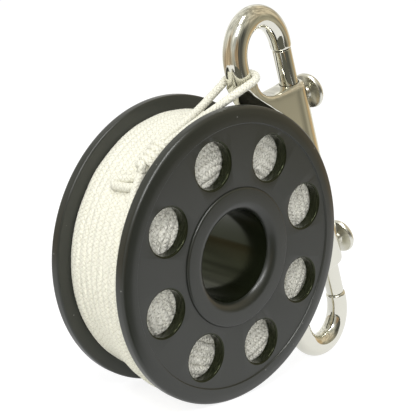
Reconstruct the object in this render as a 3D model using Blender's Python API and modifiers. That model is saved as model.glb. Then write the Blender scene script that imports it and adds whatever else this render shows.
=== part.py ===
"""Finger spool for diving: a flanged spool with a finger bore, its wound braided line, and a
double-ended bolt snap held by a loop of the line.

The spool stands on its two flange rims. Its axis runs along Y, the front flange faces -Y, and
the snap leans in the groove on the +X side with its lower hook on the floor.
"""

import math

import bmesh
import bpy
from mathutils import Matrix, Vector

# Clearances
CLEARANCE = 0.0003
CUT_OVERRUN = 0.0010

# Flanges
FLANGE_RADIUS = 0.0420
FLANGE_THICKNESS = 0.0038
FLANGE_SPACING = 0.0234
RIM_WIDTH = 0.0046
RIM_EDGE_FILLET = 0.0010
RIM_STEP_FILLET = 0.0004
WEB_RECESS = 0.0005
HOLE_COUNT = 8
HOLE_INNER_WALL = 0.0027
HOLE_OUTER_WALL = 0.0020
HOLE_EDGE_CHAMFER = 0.0004
HOLE_PHASE = math.radians(21.8)

# Hub sleeve
HUB_RADIUS = 0.0197
HUB_EDGE_FILLET = 0.0003
HUB_WALL = 0.00665
BORE_FILLET = 0.0028

# Line
LINE_DIAMETER = 0.0023
WINDING_DEPTH = 0.0042
TURN_GAP = 0.00045
KNOT_TURN = math.radians(16.2)
KNOT_LENGTH = 0.0078
KNOT_WIDTH = 0.0068
KNOT_END_WIDTH = 0.0056
KNOT_HEIGHT = 0.0034
KNOT_FILLET = 0.0015
KNOT_OFFSET = 0.0065
CLIMB_ANGLE = math.radians(24.0)
CROSS_ANGLE = math.radians(20.0)
STRAND_LIFT = 0.0005
STRAND_SHARES = (0.15, 0.32, 0.5, 0.68, 0.85, 0.93)

# Bolt snap body, from the middle of its gate axis
SNAP_TILT = math.radians(21.0)
SNAP_OFFSET = 0.0060
STOCK_RADIUS = 0.0035
TIP_RADIUS = 0.0027
HOOK_SPAN = 0.0187
HOOK_ARC_RISE = 0.0111
HOOK_STEM_LENGTH = 0.0042
TIP_DROP = 0.0018
THROAT_RISE = 0.0006
THROAT_LAP = 0.0001
BARREL_RADIUS = 0.0046
BARREL_HALF_LENGTH = 0.0309
BARREL_EDGE_FILLET = 0.0012
WEB_FACE_DROP = 0.0001
WEB_EDGE_FILLET = 0.0027
WEB_DEPTH = 0.0160
WEB_TOP_DROP = 0.0004
WEB_SIDE_DROP = 0.00015
WEB_STEM_RISE = 0.0004
SHOULDER_RISE = 0.0025
SHOULDER_FILLET = 0.0035
STEM_SINK = 0.0029
LOOP_RISE = 0.0008

# Sliding bolts, their knobs and springs
BOLT_RADIUS = 0.00255
BOLT_EDGE_CHAMFER = 0.0004
BOLT_TAIL = 0.0061
BOLT_STAND = 0.0011
BORE_FOOT_HEIGHT = 0.0030
KNOB_INSET = 0.0058
KNOB_RADIUS = 0.0055
KNOB_BACK = 0.0062
KNOB_THICKNESS = 0.0029
KNOB_RIM_FILLET = 0.0012
NECK_RADIUS = 0.0016
SPIGOT_RADIUS = 0.0012
SPIGOT_DEPTH = 0.0013
SPRING_RADIUS = 0.0019
SPRING_WIRE_RADIUS = 0.00025
SPRING_TURNS = 10

# Facet counts
RIM_STEPS = 64
HUB_STEPS = 48
HOLE_STEPS = 20
LOOP_POINTS = 24
CURL_POINTS = 8
FILLET_STEPS = 3
BARREL_STEPS = 24
KNOB_STEPS = 24
BOLT_STEPS = 16
HOOK_ARC_STEPS = 14
THROAT_STEPS = 6
WRAP_STEPS = 6
EASE_STEPS = 3
KNOT_STEPS = 12
HOOK_ROUND_STEPS = 4
LOOP_ROUND_STEPS = 2
WOUND_ROUND_STEPS = 1
MERGE_DISTANCE = 0.00001
FLAT_ANGLE = math.radians(1.0)

# What follows from the sizes above
SPOOL_WIDTH = FLANGE_SPACING + 2 * FLANGE_THICKNESS
BORE_RADIUS = HUB_RADIUS - HUB_WALL
RIM_INSIDE = FLANGE_RADIUS - RIM_WIDTH
HOLE_RADIUS = (RIM_INSIDE - HOLE_OUTER_WALL - HUB_RADIUS - HOLE_INNER_WALL) / 2
HOLE_PITCH_RADIUS = HUB_RADIUS + HOLE_INNER_WALL + HOLE_RADIUS
LINE_RADIUS = LINE_DIAMETER / 2
WINDING_RADIUS = FLANGE_RADIUS - WINDING_DEPTH
TURN_RADIUS = WINDING_RADIUS - LINE_RADIUS
CORE_RADIUS = TURN_RADIUS * math.cos(math.pi / LOOP_POINTS) - LINE_RADIUS - CLEARANCE
RIDE_RADIUS = WINDING_RADIUS + CLEARANCE + KNOT_HEIGHT / 2

# Heights along the snap, from its middle to the end of its hook
HOOK_RADIUS = HOOK_SPAN / 2
THROAT_CENTRE = (HOOK_SPAN - STOCK_RADIUS) / 2
THROAT_RADIUS = THROAT_CENTRE - THROAT_LAP
THROAT_HEIGHT = BARREL_HALF_LENGTH + THROAT_RISE
SHOULDER_HEIGHT = THROAT_HEIGHT + SHOULDER_RISE
STEM_WEB_HEIGHT = THROAT_HEIGHT + THROAT_RADIUS + WEB_STEM_RISE
STEM_FOOT_HEIGHT = STEM_WEB_HEIGHT - STEM_SINK
LOOP_HEIGHT = STEM_WEB_HEIGHT + LOOP_RISE
HOOK_ARC_FOOT = STEM_WEB_HEIGHT + HOOK_STEM_LENGTH
TIP_HEIGHT = HOOK_ARC_FOOT - TIP_DROP
WEB_FOOT_HEIGHT = BARREL_HALF_LENGTH - WEB_DEPTH
WEB_HALF_THICKNESS = STOCK_RADIUS - WEB_FACE_DROP
WEB_OUTER = HOOK_SPAN + STOCK_RADIUS - WEB_SIDE_DROP
WEB_SLOPE = math.atan2(SHOULDER_HEIGHT - WEB_FOOT_HEIGHT, WEB_OUTER)
THROAT_MIDDLE = THROAT_HEIGHT + THROAT_RADIUS
WEB_WALL = (
    (THROAT_MIDDLE - WEB_FOOT_HEIGHT) * math.cos(WEB_SLOPE)
    - THROAT_CENTRE * math.sin(WEB_SLOPE)
    - THROAT_RADIUS
)
KNOB_HEIGHT = BARREL_HALF_LENGTH - KNOB_INSET
BOLT_FOOT_HEIGHT = KNOB_HEIGHT - BOLT_TAIL
BOLT_TRAVEL = TIP_HEIGHT - CLEARANCE - BARREL_HALF_LENGTH - BOLT_STAND

# The snap's place, with its lower hook on the floor that the flanges stand on
FLOOR_DEPTH = FLANGE_RADIUS * math.cos(math.pi / RIM_STEPS)
HOOK_DROP = STOCK_RADIUS + math.hypot(
    HOOK_RADIUS * math.sin(SNAP_TILT), HOOK_ARC_RISE * math.cos(SNAP_TILT)
)
LEAN = HOOK_RADIUS * math.tan(SNAP_TILT) + HOOK_ARC_FOOT
FLOOR_ALONG = LEAN + (HOOK_DROP - FLOOR_DEPTH) / math.cos(SNAP_TILT)


def web_distance(side):
    """How far the gate axis is from the spool's when the web of this side meets the winding."""
    reach = WINDING_RADIUS + CLEARANCE
    rise = (WEB_FOOT_HEIGHT + side * FLOOR_ALONG) * math.cos(WEB_SLOPE)
    lean = math.tan(SNAP_TILT) * math.cos(WEB_SLOPE)
    return (reach - rise) / (math.sin(WEB_SLOPE) - side * lean)


GATE_DISTANCE = max(WINDING_RADIUS + CLEARANCE + BARREL_RADIUS, web_distance(1), web_distance(-1))
SNAP_ALONG = FLOOR_ALONG - GATE_DISTANCE * math.tan(SNAP_TILT)

parts = bpy.data.collections.new("finger_spool")
cutters = bpy.data.collections.new("cutters")


def clear_scene():
    for old in list(bpy.data.objects):
        bpy.data.objects.remove(old, do_unlink=True)


def material(name, colour, roughness, metallic=0.0):
    made = bpy.data.materials.new(name)
    made.use_nodes = True
    shader = made.node_tree.nodes["Principled BSDF"]
    shader.inputs["Base Color"].default_value = (*colour, 1.0)
    shader.inputs["Roughness"].default_value = roughness
    shader.inputs["Metallic"].default_value = metallic
    return made


def empty(name, parent=None, location=(0, 0, 0), rotation=(0, 0, 0)):
    made = bpy.data.objects.new(name, None)
    parts.objects.link(made)
    made.parent = parent
    made.location = location
    made.rotation_euler = rotation
    return made


def place(made, parent, location=(0, 0, 0), rotation=(0, 0, 0)):
    made.parent = parent
    made.location = location
    made.rotation_euler = rotation
    return made


def keep(made, finish):
    """A piece of the finished object, with its material."""
    parts.objects.link(made)
    made.data.materials.append(finish)
    if made.type == "MESH":
        made.data.shade_smooth()
    return made


def helper(made):
    """A shape that only cuts or joins, so it never renders."""
    cutters.objects.link(made)
    made.hide_render = True
    made.display_type = "WIRE"
    return made


def rounded(corners):
    """The outline through (x, y, fillet radius) corners, with an arc at each rounded one."""
    outline = []
    for index, (x, y, radius) in enumerate(corners):
        here = Vector((x, y))
        if radius == 0:
            outline.append(here)
            continue
        before = Vector(corners[index - 1][:2]) - here
        after = Vector(corners[(index + 1) % len(corners)][:2]) - here
        half = before.angle(after) / 2
        reach = radius / math.tan(half)
        centre = here + (before.normalized() + after.normalized()).normalized() * (
            radius / math.sin(half)
        )
        first = here + before.normalized() * reach - centre
        last = here + after.normalized() * reach - centre
        turn = first.angle_signed(last)
        for step in range(FILLET_STEPS + 1):
            arm = first.copy()
            arm.rotate(Matrix.Rotation(-turn * step / FILLET_STEPS, 2))
            outline.append(centre + arm)
    return outline


def turned(name, outline, steps, closed):
    """A body of revolution about local Z from an outline of (radius, height) points."""
    start = math.pi / steps
    mesh = bpy.data.meshes.new(name)
    points = [(p[0] * math.cos(start), p[0] * math.sin(start), p[1]) for p in outline]
    edges = [(i, i + 1) for i in range(len(points) - 1)]
    if closed:
        edges.append((len(points) - 1, 0))
    mesh.from_pydata(points, edges, [])
    made = bpy.data.objects.new(name, mesh)
    screw = made.modifiers.new("turn", "SCREW")
    screw.steps = steps
    screw.render_steps = steps
    screw.use_merge_vertices = True
    screw.merge_threshold = MERGE_DISTANCE
    screw.use_smooth_shade = True
    return made


def boolean(made, operation, other):
    modifier = made.modifiers.new(other.name, "BOOLEAN")
    modifier.operation = operation
    modifier.object = other
    return made


def tube(name, points, radius, resolution, radii=None):
    """A round tube along a polyline, with capped ends."""
    curve = bpy.data.curves.new(name, "CURVE")
    curve.dimensions = "3D"
    curve.bevel_depth = radius
    curve.bevel_resolution = resolution
    curve.use_fill_caps = True
    spline = curve.splines.new("POLY")
    spline.points.add(len(points) - 1)
    for index, point in enumerate(points):
        spline.points[index].co = (*point, 1)
        spline.points[index].radius = radii[index] / radius if radii else 1
    return bpy.data.objects.new(name, curve)


def as_mesh(curve_object):
    """The same shape as a mesh, which a Boolean can use."""
    parts.objects.link(curve_object)
    graph = bpy.context.evaluated_depsgraph_get()
    mesh = bpy.data.meshes.new_from_object(curve_object.evaluated_get(graph))
    work = bmesh.new()
    work.from_mesh(mesh)
    bmesh.ops.remove_doubles(work, verts=work.verts, dist=MERGE_DISTANCE)
    bmesh.ops.recalc_face_normals(work, faces=work.faces)
    work.to_mesh(mesh)
    work.free()
    name = curve_object.name
    world = curve_object.matrix_world.copy()
    bpy.data.objects.remove(curve_object, do_unlink=True)
    made = bpy.data.objects.new(name, mesh)
    made.matrix_world = world
    return made


def smooth_route(points, spacing):
    """Points read from a smooth curve through the route's own points."""
    route = [Vector(p) for p in points]
    ends = [2 * route[0] - route[1], *route, 2 * route[-1] - route[-2]]
    read = []
    for a, b, c, d in zip(ends, ends[1:], ends[2:], ends[3:]):
        count = max(1, round((c - b).length / spacing))
        for step in range(count):
            t = step / count
            read.append(
                b
                + (c - a) * (t / 2)
                + (a * 2 - b * 5 + c * 4 - d) * (t**2 / 2)
                + (b * 3 - a - c * 3 + d) * (t**3 / 2)
            )
    return [*read, route[-1]]


def least_gap(points, diameter, loop_points):
    """The least free distance between stretches of a winding at least half a loop apart."""
    least = math.inf
    for index, point in enumerate(points):
        for other in range(index + loop_points // 2, len(points) - 1):
            start = points[other]
            run = points[other + 1] - start
            share = max(0, min(1, (point - start).dot(run) / run.length_squared))
            least = min(least, (start + run * share - point).length)
    return least - diameter


def flange_outline():
    """The ring's section from its inner face, at height 0, to its raised rim."""
    inner = HUB_RADIUS + CLEARANCE
    web_top = FLANGE_THICKNESS - WEB_RECESS
    return rounded(
        [
            (RIM_INSIDE, FLANGE_THICKNESS, RIM_STEP_FILLET),
            (FLANGE_RADIUS, FLANGE_THICKNESS, RIM_EDGE_FILLET),
            (FLANGE_RADIUS, 0, RIM_EDGE_FILLET),
            (inner, 0, 0),
            (inner, web_top, 0),
            (RIM_INSIDE - WEB_RECESS, web_top, 0),
        ]
    )


def hole_cutters(name, phase):
    """The drills for one flange's ring of holes, each flared at the flange's outer face."""
    web_top = FLANGE_THICKNESS - WEB_RECESS
    flare = HOLE_RADIUS + HOLE_EDGE_CHAMFER
    work = bmesh.new()
    spans = (
        (-CUT_OVERRUN, HOLE_RADIUS),
        (web_top - HOLE_EDGE_CHAMFER, HOLE_RADIUS),
        (web_top + CUT_OVERRUN, flare + CUT_OVERRUN),
    )
    for copy in range(HOLE_COUNT):
        angle = phase + 2 * math.pi * copy / HOLE_COUNT
        middle = Vector((math.cos(angle), math.sin(angle), 0)) * HOLE_PITCH_RADIUS
        rings = []
        for height, radius in spans:
            ring = []
            for step in range(HOLE_STEPS):
                turn = 2 * math.pi * step / HOLE_STEPS
                arm = Vector((math.cos(turn), math.sin(turn), 0)) * radius
                ring.append(work.verts.new(middle + arm + Vector((0, 0, height))))
            rings.append(ring)
        work.faces.new(reversed(rings[0]))
        work.faces.new(rings[-1])
        for low, high in zip(rings, rings[1:]):
            for step in range(HOLE_STEPS):
                after = (step + 1) % HOLE_STEPS
                work.faces.new((low[step], low[after], high[after], high[step]))
    mesh = bpy.data.meshes.new(name)
    work.to_mesh(mesh)
    work.free()
    return helper(bpy.data.objects.new(name, mesh))


def flange(name, side, finish, spool):
    """side is -1 for the front flange and 1 for the rear one."""
    made = keep(turned(name, flange_outline(), RIM_STEPS, True), finish)
    seat = (0, side * FLANGE_SPACING / 2, 0)
    facing = (-side * math.pi / 2, 0, 0)
    place(made, spool, seat, facing)
    drills = hole_cutters(name + "_drills", -side * HOLE_PHASE)
    place(drills, spool, seat, facing)
    return boolean(made, "DIFFERENCE", drills)


def hub_sleeve(finish, spool):
    end = SPOOL_WIDTH / 2
    outline = rounded(
        [
            (BORE_RADIUS, end, BORE_FILLET),
            (HUB_RADIUS, end, HUB_EDGE_FILLET),
            (HUB_RADIUS, -end, HUB_EDGE_FILLET),
            (BORE_RADIUS, -end, BORE_FILLET),
        ]
    )
    made = keep(turned("hub_sleeve", outline, HUB_STEPS, True), finish)
    return place(made, spool, rotation=(math.pi / 2, 0, 0))


def line_core(finish, spool):
    """The inner layers of the winding, which the outer layer hides."""
    end = FLANGE_SPACING / 2 - CLEARANCE
    inner = HUB_RADIUS + CLEARANCE
    outline = [(inner, end), (CORE_RADIUS, end), (CORE_RADIUS, -end), (inner, -end)]
    made = keep(turned("line_core", outline, HUB_STEPS, True), finish)
    return place(made, spool, rotation=(math.pi / 2, 0, 0))


def on_spool(angle, radius, across):
    """A point at an angle round the spool's axis, from +X towards +Z."""
    return Vector((radius * math.cos(angle), across, radius * math.sin(angle)))


def snap_axes():
    """The snap's directions across and along, in the spool's frame."""
    turn = Matrix.Rotation(-SNAP_TILT, 3, "Y")
    return turn @ Vector((1, 0, 0)), turn @ Vector((0, 0, 1))


def loop_pivot():
    """The middle of the hook's stem where the line passes round it, in the spool's frame."""
    across, along = snap_axes()
    middle = across * GATE_DISTANCE + along * SNAP_ALONG + Vector((0, -SNAP_OFFSET, 0))
    return middle - across * HOOK_SPAN + along * LOOP_HEIGHT


def knot_angle():
    """Where the knot lies, a little beyond where the strands touch the winding."""
    pivot = loop_pivot()
    reach = math.hypot(pivot.x, pivot.z)
    return math.atan2(pivot.z, pivot.x) + math.acos(RIDE_RADIUS / reach) + KNOT_TURN


def winding_points():
    """The outer layer's centreline, from the rear flange to the knot of the loop."""
    edge = FLANGE_SPACING / 2 - CLEARANCE - LINE_RADIUS
    turns = 2 * edge / (LINE_DIAMETER + TURN_GAP)
    knot_end = knot_angle() + (KNOT_LENGTH / 2 + CLEARANCE) / RIDE_RADIUS
    straight = LINE_DIAMETER / RIDE_RADIUS
    wound_end = knot_end + straight + CROSS_ANGLE + CLIMB_ANGLE
    count = round(turns * LOOP_POINTS)
    points = []
    for step in range(count + 1):
        angle = wound_end + (count - step) * 2 * math.pi / LOOP_POINTS
        points.append(on_spool(angle, TURN_RADIUS, edge - 2 * edge * step / count))
    for step in range(1, EASE_STEPS + 1):
        ease = math.sin(math.pi / 2 * step / EASE_STEPS) ** 2
        radius = TURN_RADIUS + (RIDE_RADIUS - TURN_RADIUS) * ease
        points.append(on_spool(wound_end - CLIMB_ANGLE * step / EASE_STEPS, radius, -edge))
    for step in range(1, EASE_STEPS + 1):
        ease = math.sin(math.pi / 2 * step / EASE_STEPS) ** 2
        across = -edge + (edge - KNOT_OFFSET) * ease
        angle = knot_end + straight + CROSS_ANGLE * (1 - step / EASE_STEPS)
        points.append(on_spool(angle, RIDE_RADIUS, across))
    points.append(on_spool(knot_end, RIDE_RADIUS, -KNOT_OFFSET))
    return points


def line_wound(finish, spool):
    points = winding_points()
    gap = least_gap(points, LINE_DIAMETER, LOOP_POINTS)
    print("least gap of the winding to itself:", round(gap, 6))
    made = tube("line_wound", points, LINE_RADIUS, WOUND_ROUND_STEPS)
    return place(keep(made, finish), spool)


def loop_points():
    """From the knot, past the front of the stem, round it and back behind it."""
    across, _ = snap_axes()
    pivot = loop_pivot()
    bend = STOCK_RADIUS + CLEARANCE + LINE_RADIUS
    knot_end = knot_angle() - (KNOT_LENGTH / 2 + CLEARANCE) / RIDE_RADIUS
    spread = (LINE_DIAMETER + TURN_GAP) / 2
    back = Vector((0, 1, 0))
    starts = [on_spool(knot_end, RIDE_RADIUS, side * spread - KNOT_OFFSET) for side in (-1, 1)]
    wrap = []
    for step in range(WRAP_STEPS + 1):
        turn = math.pi * step / WRAP_STEPS - math.pi / 2
        wrap.append(pivot + (across * math.cos(turn) + back * math.sin(turn)) * bend)
    strands = []
    for start, end in ((starts[0], wrap[0]), (starts[1], wrap[-1])):
        strand = []
        for share in STRAND_SHARES:
            lift = STRAND_LIFT * math.sin(math.pi * share)
            strand.append(start.lerp(end, share) + Vector((0, 0, lift)))
        strands.append(strand)
    route = [starts[0], *strands[0], *wrap, *reversed(strands[1]), starts[1]]
    return smooth_route(route, 2 * LINE_DIAMETER)


def line_loop(finish, spool):
    made = tube("line_loop", loop_points(), LINE_RADIUS, LOOP_ROUND_STEPS)
    return place(keep(made, finish), spool)


def loop_knot(finish, spool):
    """The knot that ties the loop, a drawn-down lump lying on the winding."""
    half = KNOT_LENGTH / 2
    outline = rounded(
        [
            (0, half, 0),
            (KNOT_END_WIDTH / 2, half, 0),
            (KNOT_WIDTH / 2, half / 2, KNOT_FILLET),
            (KNOT_WIDTH / 2, -half / 2, KNOT_FILLET),
            (KNOT_END_WIDTH / 2, -half, 0),
            (0, -half, 0),
        ]
    )
    made = keep(turned("loop_knot", outline, KNOT_STEPS, False), finish)
    angle = knot_angle()
    place(made, spool, on_spool(angle, RIDE_RADIUS, -KNOT_OFFSET), (0, -angle, 0))
    made.scale = (KNOT_HEIGHT / KNOT_WIDTH, 1, 1)
    return made


def hook_points(side):
    """The bent stock's centreline, from inside the web to the hook's tip."""
    points = [Vector((-HOOK_SPAN, 0, STEM_FOOT_HEIGHT))]
    for step in range(HOOK_ARC_STEPS + 1):
        turn = math.pi * (1 - step / HOOK_ARC_STEPS)
        points.append(
            Vector(
                (
                    HOOK_RADIUS * math.cos(turn) - HOOK_RADIUS,
                    0,
                    HOOK_ARC_RISE * math.sin(turn) + HOOK_ARC_FOOT,
                )
            )
        )
    points.append(Vector((0, 0, TIP_HEIGHT)))
    return [Vector((p.x, p.y, side * p.z)) for p in points]


def hook(name, side, centre):
    points = hook_points(side)
    taper = HOOK_ARC_STEPS // 2
    radii = [STOCK_RADIUS] * (len(points) - taper)
    for step in range(1, taper + 1):
        radii.append(STOCK_RADIUS + (TIP_RADIUS - STOCK_RADIUS) * step / taper)
    made = as_mesh(tube(name, points, STOCK_RADIUS, HOOK_ROUND_STEPS, radii))
    return place(helper(made), centre)


def round_web_edges(mesh):
    """Rounds the web's long edges, and leaves those inside the barrel and the stem sharp."""
    fillet = min(WEB_EDGE_FILLET, (WEB_WALL - CLEARANCE) / 2, WEB_HALF_THICKNESS - CLEARANCE)
    work = bmesh.new()
    work.from_mesh(mesh)
    bmesh.ops.dissolve_limit(work, angle_limit=FLAT_ANGLE, verts=work.verts, edges=work.edges)
    edges = []
    for edge in work.edges:
        ends = [vertex.co for vertex in edge.verts]
        in_barrel = min(end.x for end in ends) > -BARREL_RADIUS
        in_stem = min(abs(end.y) for end in ends) > STEM_WEB_HEIGHT - CLEARANCE
        across = abs(ends[0].z - ends[1].z) > WEB_HALF_THICKNESS
        if not (in_barrel or in_stem or across):
            edges.append(edge)
    bmesh.ops.bevel(
        work,
        geom=edges,
        offset=fillet,
        offset_type="OFFSET",
        segments=FILLET_STEPS,
        profile=0.5,
        affect="EDGES",
        clamp_overlap=True,
    )
    work.to_mesh(mesh)
    work.free()


def web(name, side, centre):
    """The flat web that joins the hook's stem to the barrel, hollowed to a round throat."""
    top = BARREL_HALF_LENGTH - WEB_TOP_DROP
    outline = [Vector((0, WEB_FOOT_HEIGHT)), Vector((0, top))]
    for step in range(THROAT_STEPS + 1):
        turn = -math.pi / 2 * (1 + step / THROAT_STEPS)
        arm = Vector((math.cos(turn), math.sin(turn))) * THROAT_RADIUS
        outline.append(arm + Vector((-THROAT_CENTRE, THROAT_MIDDLE)))
    outline += rounded(
        [
            (-THROAT_CENTRE - THROAT_RADIUS, STEM_WEB_HEIGHT, 0),
            (-WEB_OUTER, STEM_WEB_HEIGHT, 0),
            (-WEB_OUTER, SHOULDER_HEIGHT, SHOULDER_FILLET),
            (0, WEB_FOOT_HEIGHT, 0),
        ]
    )[:-1]
    curve = bpy.data.curves.new(name, "CURVE")
    curve.dimensions = "2D"
    curve.fill_mode = "BOTH"
    curve.extrude = WEB_HALF_THICKNESS
    spline = curve.splines.new("POLY")
    spline.points.add(len(outline) - 1)
    for index, point in enumerate(outline):
        spline.points[index].co = (point.x, side * point.y, 0, 1)
    spline.use_cyclic_u = True
    made = helper(as_mesh(bpy.data.objects.new(name, curve)))
    round_web_edges(made.data)
    return place(made, centre, rotation=(math.pi / 2, 0, 0))


def barrel_bore(name, side, centre):
    """The blind bore that a bolt and its spring run in."""
    radius = BOLT_RADIUS + CLEARANCE
    top = BARREL_HALF_LENGTH + CUT_OVERRUN
    outline = [(0, top), (radius, top), (radius, BORE_FOOT_HEIGHT), (0, BORE_FOOT_HEIGHT)]
    made = helper(turned(name, outline, BOLT_STEPS, False))
    return place(made, centre, rotation=(0 if side > 0 else math.pi, 0, 0))


def knob_slot(name, side, centre):
    """The slot that the knob's neck travels along, on the barrel's outer side."""
    half_width = NECK_RADIUS + CLEARANCE
    top = KNOB_HEIGHT + half_width
    bottom = KNOB_HEIGHT - BOLT_TRAVEL - half_width
    reach = BARREL_RADIUS + CUT_OVERRUN
    work = bmesh.new()
    bmesh.ops.create_cube(work, size=1)
    size = Vector((reach, 2 * half_width, top - bottom))
    middle = Vector((reach / 2, 0, side * (top + bottom) / 2))
    bmesh.ops.scale(work, vec=size, verts=work.verts)
    bmesh.ops.translate(work, vec=middle, verts=work.verts)
    lengthwise = [e for e in work.edges if abs((e.verts[0].co - e.verts[1].co).x) > half_width]
    bmesh.ops.bevel(
        work,
        geom=lengthwise,
        offset=half_width - CLEARANCE,
        segments=FILLET_STEPS,
        profile=0.5,
        affect="EDGES",
    )
    mesh = bpy.data.meshes.new(name)
    work.to_mesh(mesh)
    work.free()
    return place(helper(bpy.data.objects.new(name, mesh)), centre)


def snap_body(finish, centre):
    half = BARREL_HALF_LENGTH
    outline = rounded(
        [
            (0, half, 0),
            (BARREL_RADIUS, half, BARREL_EDGE_FILLET),
            (BARREL_RADIUS, -half, BARREL_EDGE_FILLET),
            (0, -half, 0),
        ]
    )
    made = keep(turned("snap_body", outline, BARREL_STEPS, False), finish)
    place(made, centre)
    for word, side in (("upper", 1), ("lower", -1)):
        boolean(made, "UNION", web(word + "_web", side, centre))
        boolean(made, "UNION", hook(word + "_hook", side, centre))
    for word, side in (("upper", 1), ("lower", -1)):
        boolean(made, "DIFFERENCE", barrel_bore(word + "_bore", side, centre))
        boolean(made, "DIFFERENCE", knob_slot(word + "_slot", side, centre))
    return made


def bolt(word, side, finish, centre):
    """The sliding pin that closes a hook, with its origin where its knob is fixed."""
    top = TIP_HEIGHT - CLEARANCE - KNOB_HEIGHT
    foot = BOLT_FOOT_HEIGHT - KNOB_HEIGHT
    inset = BOLT_RADIUS - BOLT_EDGE_CHAMFER
    outline = [
        (0, top),
        (inset, top),
        (BOLT_RADIUS, top - BOLT_EDGE_CHAMFER),
        (BOLT_RADIUS, foot + BOLT_EDGE_CHAMFER),
        (inset, foot),
        (0, foot),
    ]
    made = keep(turned(word + "_bolt", outline, BOLT_STEPS, False), finish)
    place(made, centre, (0, 0, side * KNOB_HEIGHT), (0 if side > 0 else math.pi, 0, 0))
    hole = [
        (0, BOLT_RADIUS + CUT_OVERRUN),
        (SPIGOT_RADIUS + CLEARANCE, BOLT_RADIUS + CUT_OVERRUN),
        (SPIGOT_RADIUS + CLEARANCE, BOLT_RADIUS - SPIGOT_DEPTH - CLEARANCE),
        (0, BOLT_RADIUS - SPIGOT_DEPTH - CLEARANCE),
    ]
    drill = helper(turned(word + "_knob_hole", hole, BOLT_STEPS, False))
    place(drill, centre, (0, 0, side * KNOB_HEIGHT), (0, math.pi / 2, 0))
    return boolean(made, "DIFFERENCE", drill)


def knob(word, side, finish, centre):
    """The mushroom knob, turned about the line from the bolt outwards."""
    face = KNOB_BACK + KNOB_THICKNESS
    seat = BOLT_RADIUS - SPIGOT_DEPTH
    outline = rounded(
        [
            (0, face, 0),
            (KNOB_RADIUS - KNOB_RIM_FILLET / 2, face, KNOB_RIM_FILLET * 2),
            (KNOB_RADIUS, KNOB_BACK + KNOB_RIM_FILLET / 2, 0),
            (KNOB_RADIUS - KNOB_RIM_FILLET / 2, KNOB_BACK, 0),
            (NECK_RADIUS, KNOB_BACK, 0),
            (NECK_RADIUS, BOLT_RADIUS + CLEARANCE, 0),
            (SPIGOT_RADIUS, BOLT_RADIUS + CLEARANCE, 0),
            (SPIGOT_RADIUS, seat, 0),
            (0, seat, 0),
        ]
    )
    made = keep(turned(word + "_knob", outline, KNOB_STEPS, False), finish)
    return place(made, centre, (0, 0, side * KNOB_HEIGHT), (0, math.pi / 2, 0))


def spring(word, side, finish, centre):
    """The compression spring that holds a bolt against the hook's tip."""
    low = BORE_FOOT_HEIGHT + CLEARANCE + SPRING_WIRE_RADIUS * 2
    high = BOLT_FOOT_HEIGHT - CLEARANCE - SPRING_WIRE_RADIUS * 2
    count = SPRING_TURNS * CURL_POINTS
    points = []
    for step in range(count + 1):
        turn = 2 * math.pi * step / CURL_POINTS
        height = side * (low + (high - low) * step / count)
        points.append(
            Vector((SPRING_RADIUS * math.cos(turn), SPRING_RADIUS * math.sin(turn), height))
        )
    lead = Vector((0, 0, side * SPRING_WIRE_RADIUS * 2))
    points = [points[0] - lead, *points, points[-1] + lead]
    gap = least_gap(points[1:-1], 2 * SPRING_WIRE_RADIUS, CURL_POINTS)
    print("least gap of the", word, "spring to itself:", round(gap, 6))
    made = tube(word + "_spring", points, SPRING_WIRE_RADIUS, WOUND_ROUND_STEPS)
    return place(keep(made, finish), centre)


def stand_on_origin(root):
    """Moves the whole part so that its origin is under the middle of its box, on the floor."""
    bpy.context.view_layer.update()
    graph = bpy.context.evaluated_depsgraph_get()
    corners = []
    for made in parts.objects:
        if made.type == "EMPTY":
            continue
        shown = made.evaluated_get(graph)
        mesh = shown.to_mesh()
        corners += [shown.matrix_world @ vertex.co for vertex in mesh.vertices]
        shown.to_mesh_clear()
    low = [min(c[axis] for c in corners) for axis in range(3)]
    high = [max(c[axis] for c in corners) for axis in range(3)]
    root.location -= Vector(((low[0] + high[0]) / 2, (low[1] + high[1]) / 2, low[2]))
    bpy.context.view_layer.update()


def report_places(spool, centre):
    across, along = snap_axes()
    print("spool axis through", [round(c, 6) for c in spool.matrix_world.translation])
    print("snap hinge at", [round(c, 6) for c in spool.matrix_world @ loop_pivot()])
    print("knot at", round(math.degrees(knot_angle()), 3), "degrees, travel", round(BOLT_TRAVEL, 6))
    print("snap middle at", [round(c, 6) for c in centre.matrix_world.translation])
    print("snap across", [round(c, 6) for c in across], "along", [round(c, 6) for c in along])


def main():
    clear_scene()
    bpy.context.scene.collection.children.link(parts)
    bpy.context.scene.collection.children.link(cutters)
    plastic = material("black_plastic", (0.045, 0.047, 0.043), 0.42)
    cord = material("white_line", (0.86, 0.85, 0.80), 0.75)
    steel = material("polished_steel", (0.72, 0.70, 0.66), 0.16, 1.0)
    spring_steel = material("spring_steel", (0.55, 0.55, 0.55), 0.30, 1.0)

    spool = empty("spool_frame")
    hub_sleeve(plastic, spool)
    flange("front_flange", -1, plastic, spool)
    flange("rear_flange", 1, plastic, spool)
    line_core(cord, spool)
    line_wound(cord, spool)
    line_loop(cord, spool)
    loop_knot(cord, spool)

    swing = empty("snap_hinge", spool, loop_pivot(), (0, -SNAP_TILT, 0))
    centre = empty("snap_middle", swing, (HOOK_SPAN, 0, -LOOP_HEIGHT))
    snap_body(steel, centre)
    for word, side in (("upper", 1), ("lower", -1)):
        bolt(word, side, steel, centre)
        knob(word, side, steel, centre)
        spring(word, side, spring_steel, centre)
    stand_on_origin(spool)
    report_places(spool, centre)


main()
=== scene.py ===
"""A diver's finger spool, its braided line and its double-ended bolt snap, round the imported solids."""

import math

import bmesh
import bpy
import numpy as np
from mathutils import Matrix, Vector


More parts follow.
